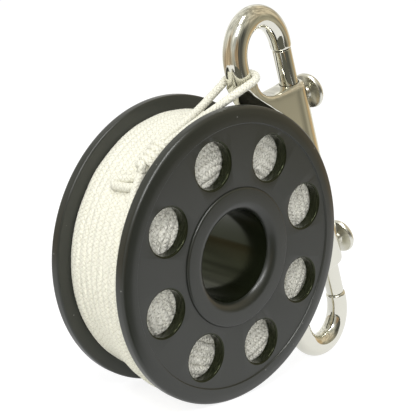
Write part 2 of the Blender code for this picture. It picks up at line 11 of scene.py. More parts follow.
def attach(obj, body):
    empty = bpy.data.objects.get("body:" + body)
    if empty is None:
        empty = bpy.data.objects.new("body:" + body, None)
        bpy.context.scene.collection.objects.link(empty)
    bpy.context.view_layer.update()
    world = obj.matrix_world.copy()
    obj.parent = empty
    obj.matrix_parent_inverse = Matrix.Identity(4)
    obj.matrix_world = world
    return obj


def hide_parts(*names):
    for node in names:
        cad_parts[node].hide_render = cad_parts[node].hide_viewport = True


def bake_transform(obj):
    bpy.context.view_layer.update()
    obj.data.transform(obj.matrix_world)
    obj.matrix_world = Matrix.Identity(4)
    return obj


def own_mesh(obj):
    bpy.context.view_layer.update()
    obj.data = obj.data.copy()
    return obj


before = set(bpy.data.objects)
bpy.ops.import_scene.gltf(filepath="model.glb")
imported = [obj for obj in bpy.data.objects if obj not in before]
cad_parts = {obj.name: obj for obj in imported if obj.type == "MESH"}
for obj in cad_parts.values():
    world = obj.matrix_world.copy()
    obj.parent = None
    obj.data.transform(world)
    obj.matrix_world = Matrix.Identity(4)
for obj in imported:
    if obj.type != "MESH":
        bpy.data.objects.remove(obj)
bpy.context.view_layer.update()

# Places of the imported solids, in metres
SPOOL = Vector((-0.008492, 0.0, 0.041949))
SNAP = Vector((0.030913, -0.006, 0.058446))
SNAP_TILT = math.radians(21.0)
HINGE = Vector((-0.000951, -0.006, 0.089274))

# The photograph's view, from the middle of the spool
CAMERA_CLIP = 0.01
CAMERA_FROM_SPOOL = Vector((-0.23674, -0.23835, 0.08900))
CAMERA_RIGHT = Vector((0.70951, -0.70423, 0.02550))
CAMERA_UP = Vector((0.14114, 0.17747, 0.97395))
CAMERA_BACK = Vector((-0.69042, -0.68743, 0.22531))
FOCAL_PIXELS = 1222.99
IMAGE_PIXELS = 416
SENSOR = 36.0
WORLD_LIGHT = 0.55
FLOOR_SIZE = 8.0
FLOOR_COLOUR = (0.82, 0.82, 0.80, 1)
FLOOR_SHADE = 0.30
FLOOR_GLOW = 0.86
FLOOR_MIRROR_GLOW = 0.70
SHEET_HEIGHT = 0.0005
ROOM_RADIUS = 1.6
TABLE_RADIUS = 0.235
PATCH_WOBBLE = 0.16
STREAK_STRETCH = (3.6, 3.6, 0.9)
STREAK_SPREAD = (0.38, 0.62, 0.62, 1.30)

# Spool
FLANGE_RADIUS = 0.0420
FLANGE_THICKNESS = 0.0038
FLANGE_SPACING = 0.0234
RIM_WIDTH = 0.0046
RIM_OUTER_FILLET = 0.0012
RIM_DROP = 0.0002
RIM_SLOPE = 0.0005
RIM_CROWN = 0.0080
RIM_CROWN_SHARE = 0.42
RIM_INNER_FILLET = 0.0006
WEB_RECESS = 0.0006
STEP_FILLET = 0.00016
HOLE_COUNT = 8
HOLE_RADIUS = 0.0065
HOLE_PITCH_RADIUS = 0.0289
HOLE_PHASE = math.radians(21.8)
HOLE_EDGE_FILLET = 0.0005
DRILL_OVERRUN = 0.001
FACE_OVERRUN = 0.00002
HUB_RADIUS = 0.0197
HUB_SEAM = 0.00006
HUB_EDGE_FILLET = 0.00058
BORE_RADIUS = 0.01305
BORE_FILLET = 0.0028
BORE_WALL_SHARE = 0.04

# Line
CURVE_STEPS = 24
LINE_DIAMETER = 0.00238
LINE_SIDES = 16
SIDE_LINE_SIDES = 14
WOUND_DIAMETER = 0.0032
WOUND_FLAT = 0.64
RING_SPACING = 0.00038
LOOP_RING_SPACING = 0.000266
TURN_STEPS = 48
TURN_PITCH = 0.00238
TURN_RADIUS = 0.03690
TURN_WANDER = 0.00006
STRAIGHT_TURNS = 0.85
SINK_STEPS = 5
CLIMB_STEPS = 6
FREE_SHARE = 0.015
CLIMB_ANGLE = math.radians(24.0)
CROSS_ANGLE = math.radians(20.0)
SIDE_PITCH = 0.00222
SIDE_DIAMETER = 0.0033
SIDE_WANDER = 0.00028
SIDE_SINK = 0.0004
SIDE_TOP_DROP = 0.6
BED_INSET = 0.55
BED_DROP = 0.25
BED_GAP = 0.0001
STITCH_LENGTH = 0.00125
STITCH_COLUMNS = 5
STITCH_RELIEF = 0.00011
BRAID_TWIST = 1.6
BRAID_WANDER = 0.5
DRIFT_SPACING = 0.006
RIDE_RADIUS = 0.0396
BULGE_ANGLE = math.radians(246.0)
BULGE_REACH = 0.0060
BULGE_HEIGHT = 0.0035
KNOT_ANGLE = math.radians(131.0)
KNOT_OFFSET = 0.0078
KNOT_LEAD = 0.004
KNOT_LENGTH = 0.0078
KNOT_HALF_WIDTH = 0.0022
KNOT_HALF_HEIGHT = 0.0013
KNOT_LIFT = 0.0002
KNOT_TURNS = 4.2
KNOT_TURN_STEPS = 12
KNOT_START = 0.6
KNOT_SWELL = 0.10
KNOT_LINE_SHARE = 0.92
TAIL_LINE_SHARE = 1.04
KNOT_ENDS = (0.0012, 0.0014)
KNOT_END_SINK = 0.0016
STRAND_SPREAD = 0.00125
STRAND_EXIT = 0.0055
STRAND_PINCH = 0.6
STRAND_SHARES = (0.15, 0.32, 0.5, 0.68, 0.85, 0.94)
STRAND_ARCHES = (0.0002, -0.0009)
LOOP_GAP = 0.0001
LOOP_STEPS = 8
TAIL_RADIUS = 0.0387
TAIL_ROUTE = [
    (135.0, -0.0072), (138.0, -0.0066), (140.8, -0.0048), (141.9, -0.0022), (142.5, 0.0000),
    (144.0, 0.0010), (145.2, 0.0000), (145.3, -0.0024), (145.0, -0.0046), (144.4, -0.0066),
]

# Bolt snap, from its middle
STOCK_RADIUS = 0.0035
TIP_RADIUS = 0.0031
HOOK_SPAN = 0.0187
HOOK_ARC_FOOT = 0.0436
HOOK_ARC_RISE = 0.0111
TIP_HEIGHT = 0.0418
THROAT_HEIGHT = 0.0315
THROAT_RADIUS = 0.0075
THROAT_CENTRE = 0.0076
STEM_OVERLAP = 0.0015
STEM_TOP_DROP = 0.003
STEM_WEB_RISE = 0.0004
BARREL_RADIUS = 0.0046
BARREL_HALF_LENGTH = 0.0309
WEB_HALF_THICKNESS = 0.0032
WEB_WEDGE = math.radians(3.7)
WEB_FOOT_HEIGHT = 0.0115
WEB_TOP_DROP = 0.0003
WEB_INSET = 0.0001
WEB_EDGE_FILLET = 0.0031
BARREL_END_FILLET = 0.0012
SHOULDER_HEIGHT = 0.0340
SHOULDER_FILLET = 0.0035
VOXEL = 0.00028
CASTING_SMOOTHING = 14
WEB_SMOOTHING = 80
FACET_SMOOTHING = 6
SOFTEN_ACROSS = (-0.0260, 0.0080)
SOFTEN_ALONG = (0.0090, 0.0385)
SOFTEN_FEATHER = 0.0035
FACET_POINT = (-0.01704, 0.03519)
FACET_RUN = (0.594, -0.804)
FACET_DEPTH = 0.0034
FACET_SLOPE = math.radians(30.0)
FACET_BOX = (0.034, 0.012, 0.030)
FACET_SHIFT = 0.004
OVERRUN = 0.002
BOLT_RADIUS = 0.00275
BOLT_FOOT_HEIGHT = 0.0190
BOLT_TRAVEL = 0.0095
BOLT_TOP_FILLET = 0.0002
BOLT_FOOT_FILLET = 0.0004
BORE_FOOT_HEIGHT = 0.0030
KNOB_HEIGHT = 0.0251
KNOB_RADIUS = 0.0055
KNOB_BACK = 0.0062
KNOB_THICKNESS = 0.0029
KNOB_DOME = 0.0006
KNOB_DOME_SHARE = 0.86
KNOB_DOME_FILLET = 0.0018
KNOB_RIM = 0.0009
KNOB_RIM_FILLET = 0.0006
KNOB_BACK_SHARE = 0.94
KNOB_BACK_FILLET = 0.0004
KNOB_BACK_DISH = 0.0001
NECK_RADIUS = 0.0016
NECK_FILLET = 0.0006
NECK_DEPTH = 0.0006
CLEARANCE = 0.0002
STEEL = (0.73, 0.72, 0.645, 1)
SPRING_RADIUS = 0.0019
SPRING_WIRE_RADIUS = 0.00025
SPRING_TURNS = 10
SPRING_TURN_STEPS = 20

# Points this close are one
MERGE = 1e-7
CURVE_MERGE = 1e-6

SPOOL_AXIS = Matrix.Translation(SPOOL) @ Matrix.Rotation(math.pi / 2, 4, "X")
SNAP_FRAME = Matrix.Translation(SNAP) @ Matrix.Rotation(-SNAP_TILT, 4, "Y")


# Camera, light and floor

def new_object(name, data):
    made = bpy.data.objects.new(name, data)
    bpy.context.scene.collection.objects.link(made)
    return made


def add_camera():
    camera = new_object("camera", bpy.data.cameras.new("camera"))
    turn = Matrix((CAMERA_RIGHT, CAMERA_UP, CAMERA_BACK)).transposed()
    camera.matrix_world = Matrix.Translation(SPOOL + CAMERA_FROM_SPOOL) @ turn.to_4x4()
    camera.data.sensor_width = SENSOR
    camera.data.lens = SENSOR * FOCAL_PIXELS / IMAGE_PIXELS
    camera.data.clip_start = CAMERA_CLIP
    bpy.context.scene.camera = camera


def area_light(name, place, size, power):
    """A lamp that shines on the spool."""
    light = new_object(name, bpy.data.lights.new(name, "AREA"))
    light.data.shape = "RECTANGLE"
    light.data.size, light.data.size_y = size
    light.data.energy = power
    light.location = place
    light.rotation_mode = "QUATERNION"
    light.rotation_quaternion = (SPOOL - Vector(place)).to_track_quat("-Z", "Y")
    return light


def glowing(name, colour):
    """A flat colour that needs no light."""
    values = {"Base_Color": (0, 0, 0, 1), "Specular_IOR_Level": 0.0, "Emission_Strength": 1.0}
    return new_material(name, Emission_Color=(*colour, 1), **values)


def towards(azimuth, elevation):
    """A direction: azimuth 0 is +Y and 90 is +X, in degrees."""
    turn, lift = math.radians(azimuth), math.radians(elevation)
    return Vector((math.sin(turn) * math.cos(lift), math.cos(turn) * math.cos(lift), math.sin(lift)))


def reflections_only(piece):
    """Keeps a piece of the studio out of everything but reflections."""
    piece.visible_camera = False
    piece.visible_diffuse = False
    piece.visible_shadow = False


def room(base, patches):
    """A round room that only reflections see, with patches of colour.

    A patch is its azimuth and elevation from the snap, how wide it and its full core are in degrees,
    and its colour.
    """
    deselect()
    bpy.ops.mesh.primitive_uv_sphere_add(segments=48, ring_count=24, radius=ROOM_RADIUS, location=SNAP)
    dome = bpy.context.object
    middle = (SNAP.x, SNAP.y, SHEET_HEIGHT)
    bpy.ops.mesh.primitive_circle_add(
        vertices=96, radius=TABLE_RADIUS, fill_type="NOTHING", location=middle
    )
    ring = bpy.context.object
    edit()
    bpy.ops.mesh.extrude_edges_move()
    widen = ROOM_RADIUS / TABLE_RADIUS
    bpy.ops.transform.resize(value=(widen, widen, 1), center_override=middle)
    edit(False)
    joined([dome, ring], "room")
    made, graph, shader = glowing("room_patches", base)
    way = graph.vector("NORMALIZE", {0: graph.add("TexCoord").outputs["Object"]})
    wobble = graph.math("MULTIPLY", graph.noise(way, scale=2.4, detail=3.0), PATCH_WOBBLE)
    colour = (*base, 1)
    for azimuth, elevation, wide, core, shade in patches:
        near = graph.vector("DOT_PRODUCT", {0: way, 1: towards(azimuth, elevation)}, "Value")
        near = graph.math("ADD", near, wobble)
        edges = [math.cos(math.radians(angle)) + PATCH_WOBBLE / 2 for angle in (wide, core)]
        reach = graph.spread(near, *edges, interpolation_type="SMOOTHSTEP")
        colour = graph.mix(reach, colour, (*shade, 1))
    tall = graph.vector("MULTIPLY", {0: way, 1: STREAK_STRETCH})
    streaks = graph.noise(tall, scale=1.6, detail=3.0)
    level = graph.spread(streaks, *STREAK_SPREAD)
    graph.feed(shader["Emission Color"], graph.vector("SCALE", {0: colour, "Scale": level}))
    dome.data.materials.append(made)
    reflections_only(dome)


def sheet(name, azimuth, distance, size, turn, colour):
    """A card on the floor that only reflections see, off the snap in one direction."""
    deselect()
    bpy.ops.mesh.primitive_plane_add(size=1)
    made = bpy.context.object
    made.name = name
    way = towards(azimuth, 0) * distance
    made.location = (SNAP.x + way.x, SNAP.y + way.y, SHEET_HEIGHT)
    made.rotation_euler = (0, 0, math.radians(turn))
    made.scale = (*size, 1)
    made.data.materials.append(glowing(name, colour)[0])
    reflections_only(made)


def seen_rays(graph):
    """1 for camera rays, and 1 for the rays that show things in gloss and glass."""
    rays = graph.add("LightPath").outputs
    mirrored = graph.math("MAXIMUM", rays["Is Glossy Ray"], rays["Is Transmission Ray"])
    return rays["Is Camera Ray"], mirrored


def white_world():
    """White to the camera and in reflections, and a softer white as a light."""
    world = bpy.data.worlds.new("studio")
    bpy.context.scene.world = world
    world.use_nodes = True
    graph = Graph(world.node_tree)
    background = graph.nodes["Background"].inputs
    background["Color"].default_value = (1, 1, 1, 1)
    seen = graph.math("MAXIMUM", *seen_rays(graph))
    graph.feed(background["Strength"], graph.spread(seen, 0.0, 1.0, WORLD_LIGHT))


def white_floor():
    """A pale floor that stays white in view and still takes a soft shadow."""
    deselect()
    bpy.ops.mesh.primitive_plane_add(size=FLOOR_SIZE)
    floor = bpy.context.object
    floor.name = "floor"
    made, graph, shader = new_material(
        "pale_floor", Roughness=1.0, Specular_IOR_Level=0.0, Emission_Color=(1, 1, 1, 1)
    )
    direct, mirrored = seen_rays(graph)
    seen = graph.math("MAXIMUM", direct, mirrored)
    shown = (FLOOR_SHADE, FLOOR_SHADE, FLOOR_SHADE, 1)
    graph.feed(shader["Base Color"], graph.mix(seen, FLOOR_COLOUR, shown))
    glow = graph.math("MULTIPLY", direct, FLOOR_GLOW)
    soft = graph.math("MULTIPLY", mirrored, FLOOR_MIRROR_GLOW)
    graph.feed(shader["Emission Strength"], graph.math("MAXIMUM", glow, soft))
    floor.data.materials.append(made)


# Modelling

def edit(on=True):
    """Into or out of edit mode."""
    bpy.ops.object.mode_set(mode="EDIT" if on else "OBJECT")


def deselect():
    if bpy.context.mode != "OBJECT":
        edit(False)
    bpy.ops.object.select_all(action="DESELECT")


def pick(piece):
    deselect()
    piece.select_set(True)
    bpy.context.view_layer.objects.active = piece


def settle(piece, name, place=None):
    """Names a piece and puts its place into its mesh."""
    piece.name = name
    piece.data.name = name
    if place is not None:
        piece.matrix_world = place @ piece.matrix_world
    pick(piece)
    bpy.ops.object.transform_apply(location=True, rotation=True, scale=True)
    return piece


def smooth(piece, degrees):
    pick(piece)
    bpy.ops.object.shade_smooth_by_angle(angle=math.radians(degrees))
    return piece


def apply(piece, kind, **settings):
    """Adds one modifier with its settings and applies it."""
    pick(piece)
    modifier = piece.modifiers.new(kind.lower(), kind)
    for key, value in settings.items():
        setattr(modifier, key, value)
    bpy.ops.object.modifier_apply(modifier=modifier.name)
    return piece


def drop(piece):
    bpy.data.objects.remove(piece, do_unlink=True)


def rounded(corners, steps):
    """The outline through (x, y, fillet radius) corners, with an arc at each rounded one."""
    outline = []
    for index, (x, y, radius) in enumerate(corners):
        here = Vector((x, y))
        if radius == 0:
            outline.append(here)
            continue
        before = Vector(corners[index - 1][:2]) - here
        after = Vector(corners[(index + 1) % len(corners)][:2]) - here
        half = before.angle(after) / 2
        reach = radius / math.tan(half)
        middle = (before.normalized() + after.normalized()).normalized()
        centre = here + middle * (radius / math.sin(half))
        first = here + before.normalized() * reach - centre
        last = here + after.normalized() * reach - centre
        turn = first.angle_signed(last)
        for step in range(steps + 1):
            arm = first.copy()
            arm.rotate(Matrix.Rotation(-turn * step / steps, 2))
            outline.append(centre + arm)
    return outline


def draw_outline(points, closed):
    """A new piece that holds the edges through these points, left in edit mode."""
    if closed:
        points = [*points, points[0]]
    deselect()
    bpy.ops.mesh.primitive_plane_add(size=0.001)
    piece = bpy.context.object
    edit()
    bpy.ops.mesh.merge(type="CENTER")
    bpy.ops.transform.translate(value=points[0])
    for before, after in zip(points, points[1:]):
        bpy.ops.mesh.extrude_vertices_move(TRANSFORM_OT_translate={"value": after - before})
    bpy.ops.mesh.select_all(action="SELECT")
    bpy.ops.mesh.remove_doubles(threshold=MERGE)
    bpy.ops.mesh.select_all(action="SELECT")
    return piece


def face_outwards(merge=0.0):
    """Makes points closer than merge one, turns all faces outwards and leaves edit mode."""
    bpy.ops.mesh.select_all(action="SELECT")
    if merge > 0:
        bpy.ops.mesh.remove_doubles(threshold=merge)
    bpy.ops.mesh.normals_make_consistent(inside=False)
    edit(False)


def turned(name, outline, steps, place, closed=False):
    """A turned piece: its outline is drawn point by point and spun round local Z."""
    piece = draw_outline([Vector((r, 0, z)) for r, z in outline], closed)
    bpy.ops.mesh.spin(steps=steps, angle=2 * math.pi, center=(0, 0, 0), axis=(0, 0, 1))
    face_outwards(MERGE)
    return settle(piece, name, place)


def plate(name, outline, way):
    """A flat piece with this outline, as thick as this way, left in edit mode."""
    piece = draw_outline(outline, closed=True)
    piece.name = name
    bpy.ops.mesh.edge_face_add()
    bpy.ops.mesh.extrude_region_move(TRANSFORM_OT_translate={"value": way})
    return piece


def swept(name, points, radius, resolution, shares=None):
    """A round bar through these points as a mesh. shares thin or widen it at each point."""
    curve = bpy.data.curves.new(name, "CURVE")
    curve.dimensions = "3D"
    curve.bevel_depth = radius
    curve.bevel_resolution = resolution
    curve.use_fill_caps = True
    spline = curve.splines.new("POLY")
    spline.points.add(len(points) - 1)
    for index, point in enumerate(points):
        spline.points[index].co = (*point, 1)
        if shares is not None:
            spline.points[index].radius = shares[index]
    pick(new_object(name, curve))
    bpy.ops.object.convert(target="MESH")
    return bpy.context.object


def joined(pieces, name):
    deselect()
    for piece in pieces:
        piece.select_set(True)
    bpy.context.view_layer.objects.active = pieces[0]
    bpy.ops.object.join()
    pieces[0].name = name
    return pieces[0]


def cut(piece, cutter, **settings):
    apply(piece, "BOOLEAN", operation="DIFFERENCE", object=cutter, **settings)
    drop(cutter)


# Line, as a braided tube along a path

def smooth_path(points, spacing):
    """Evenly spaced points on a smooth curve through these points."""
    given = np.array([tuple(p) for p in points])
    ends = np.vstack([2 * given[0] - given[1], given, 2 * given[-1] - given[-2]])
    fine = []
    t = np.linspace(0, 1, CURVE_STEPS, endpoint=False)[:, None]
    for a, b, c, d in zip(ends, ends[1:], ends[2:], ends[3:]):
        fine.append(
            b
            + (c - a) * (t / 2)
            + (2 * a - 5 * b + 4 * c - d) * (t**2 / 2)
            + (3 * b - a - 3 * c + d) * (t**3 / 2)
        )
    fine = np.vstack([*fine, given[-1:]])
    run = np.concatenate([[0], np.cumsum(np.linalg.norm(np.diff(fine, axis=0), axis=1))])
    even = np.linspace(0, run[-1], max(8, round(run[-1] / spacing)))
    return np.stack([np.interp(even, run, fine[:, axis]) for axis in range(3)], axis=1)


def braid_relief(around, along):
    """0 in the gaps and 1 on the crowns of a braid of crossing strands."""
    rising = around + along
    falling = around - along
    over = (np.floor(rising) + np.floor(falling)) % 2
    crown = np.where(over > 0, rising - np.floor(rising), falling - np.floor(falling))
    under = np.where(over > 0, falling - np.floor(falling), rising - np.floor(rising))
    return np.sin(np.pi * crown) * (0.55 + 0.45 * np.sin(np.pi * under))


def braided_tube(name, path, diameter, sides, slack, seed, flat=1.0, centre=None):
    """A closed tube whose surface carries the braid, with a UV map of turns and stitches.

    With flat and centre, it is pressed flatter towards an axis along Y through centre.
    """
    path = np.asarray(path)
    rings = len(path)
    tangents = np.gradient(path, axis=0)
    tangents /= np.linalg.norm(tangents, axis=1)[:, None]
    normal = np.cross(tangents[0], (0.0, 1.0, 0.03))
    normals = np.empty_like(path)
    for index, tangent in enumerate(tangents):
        normal = normal - tangent * normal.dot(tangent)
        normal /= np.linalg.norm(normal)
        normals[index] = normal
    if centre is not None:
        arms = path - np.array(tuple(centre))
        arms[:, 1] = 0
        arms -= tangents * (arms * tangents).sum(axis=1)[:, None]
        normals = arms / np.linalg.norm(arms, axis=1)[:, None]
    binormals = np.cross(tangents, normals)
    run = np.concatenate([[0], np.cumsum(np.linalg.norm(np.diff(path, axis=0), axis=1))])
    rng = np.random.default_rng(seed)
    knots = max(4, int(run[-1] / DRIFT_SPACING))

    def drift():
        """A value for each ring that wanders between -1 and 1 along the tube."""
        return np.interp(np.linspace(0, knots - 1, rings), np.arange(knots), rng.uniform(-1, 1, knots))

    swell = 1 + slack * drift()
    twist = drift() * BRAID_TWIST
    along = run / STITCH_LENGTH + drift() * BRAID_WANDER
    turn = np.arange(sides) / sides
    relief = braid_relief(turn[None, :] * STITCH_COLUMNS, along[:, None])
    radius = (np.asarray(diameter) / 2 * swell)[:, None] - STITCH_RELIEF * (1 - relief)
    angle = 2 * np.pi * turn[None, :] + twist[:, None]
    pressed = np.cos(angle) * np.broadcast_to(flat, rings)[:, None]
    ring = normals[:, None] * pressed[:, :, None] + binormals[:, None] * np.sin(angle)[:, :, None]
    points = (path[:, None] + ring * radius[:, :, None]).reshape(-1, 3)
    points = np.vstack([points, path[0], path[-1]])
    k = np.arange(sides)
    i = np.arange(rings - 1)[:, None]
    after = (k + 1) % sides
    quads = np.stack(
        [i * sides + k, i * sides + after, (i + 1) * sides + after, (i + 1) * sides + k], axis=2
    ).reshape(-1, 4)
    first, last = rings * sides, rings * sides + 1
    caps = [(first, (s + 1) % sides, s) for s in range(sides)]
    base = (rings - 1) * sides
    caps += [(last, base + s, base + (s + 1) % sides) for s in range(sides)]
    mesh = bpy.data.meshes.new(name)
    mesh.from_pydata(points.tolist(), [], quads.tolist() + caps)
    layer = mesh.uv_layers.new(name="braid")
    u0, u1, v0, v1 = np.broadcast_arrays(k / sides, (k + 1) / sides, along[:-1, None], along[1:, None])
    corners = np.stack([u0, v0, u1, v0, u1, v1, u0, v1], axis=2).reshape(-1, 2)
    corners = np.vstack([corners, np.zeros((len(caps) * 3, 2))])
    layer.data.foreach_set("uv", corners.astype(np.float32).ravel())
    mesh.validate()
    piece = new_object(name, mesh)
    pick(piece)
    edit()
    face_outwards()
    bpy.ops.object.shade_smooth()
    return piece


def on_spool(angle, radius, across):
    return SPOOL + Vector((radius * math.cos(angle), across, radius * math.sin(angle)))


def bulge(angle, across):
    """How far the soft winding swells, low down towards the front flange."""
    low = max(0.0, math.cos(angle - BULGE_ANGLE)) ** 3
    front = min(1.0, max(0.0, (BULGE_REACH - across) / (2 * BULGE_REACH)))
    return BULGE_HEIGHT * low * front * front * (3 - 2 * front)


def wound_turns():
    """The outer layer, wound from the rear flange to the front one, whose end climbs to the knot."""
    edge = FLANGE_SPACING / 2 - WOUND_DIAMETER / 2
    radius = TURN_RADIUS + (LINE_DIAMETER - WOUND_DIAMETER * WOUND_FLAT) / 2
    knot_end = KNOT_ANGLE + KNOT_LEAD / RIDE_RADIUS
    wound_end = knot_end + CROSS_ANGLE + CLIMB_ANGLE
    count = round((2 * edge / TURN_PITCH + STRAIGHT_TURNS) * TURN_STEPS)
    rng = np.random.default_rng(3)
    points = []
    for step in range(count + 1):
        angle = wound_end + (count - step) * 2 * math.pi / TURN_STEPS
        across = max(-edge, edge - TURN_PITCH * max(0.0, step / TURN_STEPS - STRAIGHT_TURNS))
        wander = rng.uniform(-1, 1) * TURN_WANDER
        sunk = WOUND_DIAMETER * max(0.0, 1 - step / SINK_STEPS)
        reach = radius + wander + bulge(angle, across) - sunk
        points.append(on_spool(angle, reach, across + wander * 0.5))
    crossed = len(points)
    climb = [step / CLIMB_STEPS for step in range(1, CLIMB_STEPS + 1)]
    eases = [math.sin(math.pi / 2 * share) ** 2 for share in climb]
    for share, ease in zip(climb, eases):
        rise = (RIDE_RADIUS - radius) * ease
        points.append(on_spool(wound_end - CLIMB_ANGLE * share, radius + rise, -edge))
    for share, ease in zip(climb, eases):
        across = -edge + (edge - KNOT_OFFSET) * ease
        points.append(on_spool(knot_end + CROSS_ANGLE * (1 - share), RIDE_RADIUS, across))
    points.append(on_spool(KNOT_ANGLE, RIDE_RADIUS, -KNOT_OFFSET))
    path = smooth_path(points, RING_SPACING)
    share = crossed / len(points)
    freed = [0, share, share + FREE_SHARE, 1]
    free = np.interp(np.linspace(0, 1, len(path)), freed, [0, 0, 1, 1])
    widths = WOUND_DIAMETER + (LINE_DIAMETER - WOUND_DIAMETER) * free
    flat = WOUND_FLAT + (1 - WOUND_FLAT) * free
    return braided_tube("line_turns", path, widths, LINE_SIDES, 0.05, seed=1, flat=flat, centre=SPOOL)


def wound_side(name, side):
    """The stacked turns against one flange, which show through its holes."""
    across = side * (FLANGE_SPACING / 2 - SIDE_DIAMETER / 2)
    inner = HUB_RADIUS + SIDE_DIAMETER / 2
    outer = TURN_RADIUS - SIDE_PITCH * SIDE_TOP_DROP
    rng = np.random.default_rng(11 if side < 0 else 12)
    points = []
    for step in range(round((outer - inner) / SIDE_PITCH * TURN_STEPS) + 1):
        radius = inner + SIDE_PITCH * step / TURN_STEPS + rng.uniform(-1, 1) * SIDE_WANDER
        sunk = abs(rng.uniform(-1, 1)) * SIDE_SINK
        points.append(on_spool(side * 2 * math.pi * step / TURN_STEPS, radius, across - side * sunk))
    path = smooth_path(points, RING_SPACING)
    return braided_tube(name, path, SIDE_DIAMETER, SIDE_LINE_SIDES, slack=0.10, seed=5)


def loop_route():
    """The doubled end, from the knot round the front of the hook's stem and back behind it."""
    across = SNAP_FRAME.to_3x3() @ Vector((1, 0, 0))
    back = Vector((0, 1, 0))
    bend = STOCK_RADIUS + LINE_DIAMETER / 2 + LOOP_GAP
    exit_angle = KNOT_ANGLE - STRAND_EXIT / RIDE_RADIUS
    wrap = []
    for step in range(LOOP_STEPS + 1):
        turn = math.pi * step / LOOP_STEPS - math.pi / 2
        wrap.append(HINGE + (across * math.cos(turn) + back * math.sin(turn)) * bend)
    strands = []
    for side, end, arch in zip((-1, 1), (wrap[0], wrap[-1]), STRAND_ARCHES):
        spread = side * STRAND_SPREAD
        start = on_spool(KNOT_ANGLE, RIDE_RADIUS, spread * STRAND_PINCH - KNOT_OFFSET)
        leave = on_spool(exit_angle, RIDE_RADIUS + KNOT_LIFT, spread - KNOT_OFFSET)
        strand = [start, leave]
        for share in STRAND_SHARES:
            lift = arch * math.sin(math.pi * share)
            strand.append(leave.lerp(end, share) + Vector((0, 0, lift)))
        strands.append(strand)
    return [*strands[0], *wrap, *reversed(strands[1])]


def loop_strands():
    path = smooth_path(loop_route(), LOOP_RING_SPACING)
    return braided_tube("line_loop_braid", path, LINE_DIAMETER, LINE_SIDES, slack=0.03, seed=7)


def knot():
    """A short barrel knot: the line wraps its own two strands and is drawn down against the winding."""
    out = on_spool(KNOT_ANGLE, 1.0, 0.0) - SPOOL
    out.normalize()
    along = Vector((0, -1, 0)).cross(out)
    side = Vector((0, 1, 0))
    middle = on_spool(KNOT_ANGLE, RIDE_RADIUS, -KNOT_OFFSET) + out * KNOT_LIFT
    rng = np.random.default_rng(21)
    points = []
    for step in range(round(KNOT_TURNS * KNOT_TURN_STEPS) + 1):
        turn = 2 * math.pi * step / KNOT_TURN_STEPS + KNOT_START
        run = (step / KNOT_TURN_STEPS / KNOT_TURNS - 0.5) * KNOT_LENGTH
        swell = 1 + rng.uniform(-1, 1) * KNOT_SWELL
        arm = side * math.cos(turn) * KNOT_HALF_WIDTH + out * math.sin(turn) * KNOT_HALF_HEIGHT
        points.append(middle + arm * swell + along * run)
    points.insert(0, points[0] - along * KNOT_ENDS[0] - out * KNOT_END_SINK)
    points.append(points[-1] + along * KNOT_ENDS[1] - out * KNOT_END_SINK)
    path = smooth_path(points, RING_SPACING)
    width = LINE_DIAMETER * KNOT_LINE_SHARE
    wraps = braided_tube("knot_wraps", path, width, LINE_SIDES, slack=0.06, seed=9)
    end = [on_spool(math.radians(turn), TAIL_RADIUS, across) for turn, across in TAIL_ROUTE]
    path = smooth_path(end, RING_SPACING)
    tail = braided_tube("tail", path, LINE_DIAMETER * TAIL_LINE_SHARE, LINE_SIDES, slack=0.10, seed=13)
    return joined([wraps, tail], "knot_wraps")


# Spool

def flange_outline():
    inner = HUB_RADIUS + HUB_SEAM
    rim_inside = FLANGE_RADIUS - RIM_WIDTH
    web_top = FLANGE_THICKNESS - WEB_RECESS
    rim_top = FLANGE_THICKNESS - RIM_DROP
    corners = [
        (rim_inside, rim_top, STEP_FILLET),
        (rim_inside + RIM_WIDTH * RIM_CROWN_SHARE, rim_top, RIM_CROWN),
        (FLANGE_RADIUS, rim_top - RIM_SLOPE, RIM_OUTER_FILLET),
        (FLANGE_RADIUS, 0, RIM_INNER_FILLET),
        (inner, 0, 0),
        (inner, web_top, HUB_SEAM),
        (rim_inside - WEB_RECESS / 4, web_top, STEP_FILLET),
    ]
    return rounded(corners, 6)


def flange(name, side, finish, wall_finish_and_shade, bounce_lit_finish):
    """side is -1 for the front flange and 1 for the rear one."""
    facing = Matrix.Rotation(-side * math.pi / 2, 4, "X")
    seat = Matrix.Translation(SPOOL + Vector((0, side * FLANGE_SPACING / 2, 0))) @ facing
    piece = turned(name, flange_outline(), 192, seat, closed=True)
    piece.data.materials.append(finish)
    web_top = FLANGE_THICKNESS - WEB_RECESS
    top, wide = web_top + HOLE_EDGE_FILLET, HOLE_RADIUS + 2 * HOLE_EDGE_FILLET
    corners = [
        (wide, top, 0),
        (wide, web_top, 0),
        (HOLE_RADIUS, web_top, HOLE_EDGE_FILLET),
        (HOLE_RADIUS, -DRILL_OVERRUN, 0),
        (0, -DRILL_OVERRUN, 0),
    ]
    outline = [(0, top), *[tuple(p) for p in rounded(corners, 5)]]
    outline[2] = (wide, web_top + FACE_OVERRUN)
    drills = []
    for copy in range(HOLE_COUNT):
        angle = -side * HOLE_PHASE + 2 * math.pi * copy / HOLE_COUNT
        spot = Vector((math.cos(angle), math.sin(angle), 0)) * HOLE_PITCH_RADIUS
        drills.append(turned("drill", outline, 72, seat @ Matrix.Translation(spot)))
    drill = joined(drills, name + "_drills")
    # The hole walls take the gloss plastic, a glossier finish whose darker tone is painted shade inside
    # the holes.
    drill.data.materials.append(wall_finish_and_shade)
    cut(piece, drill, material_mode="TRANSFER")
    # The faces towards the line take the lighter plastic, whose tone is painted light bounced off the
    # white line.
    piece.data.materials.append(bounce_lit_finish)
    for face in piece.data.polygons:
        depth = abs(face.center.y - SPOOL.y) - FLANGE_SPACING / 2
        if depth < HUB_SEAM and abs(face.normal.y) > 0.9:
            face.material_index = len(piece.data.materials) - 1
    return smooth(piece, degrees=32)


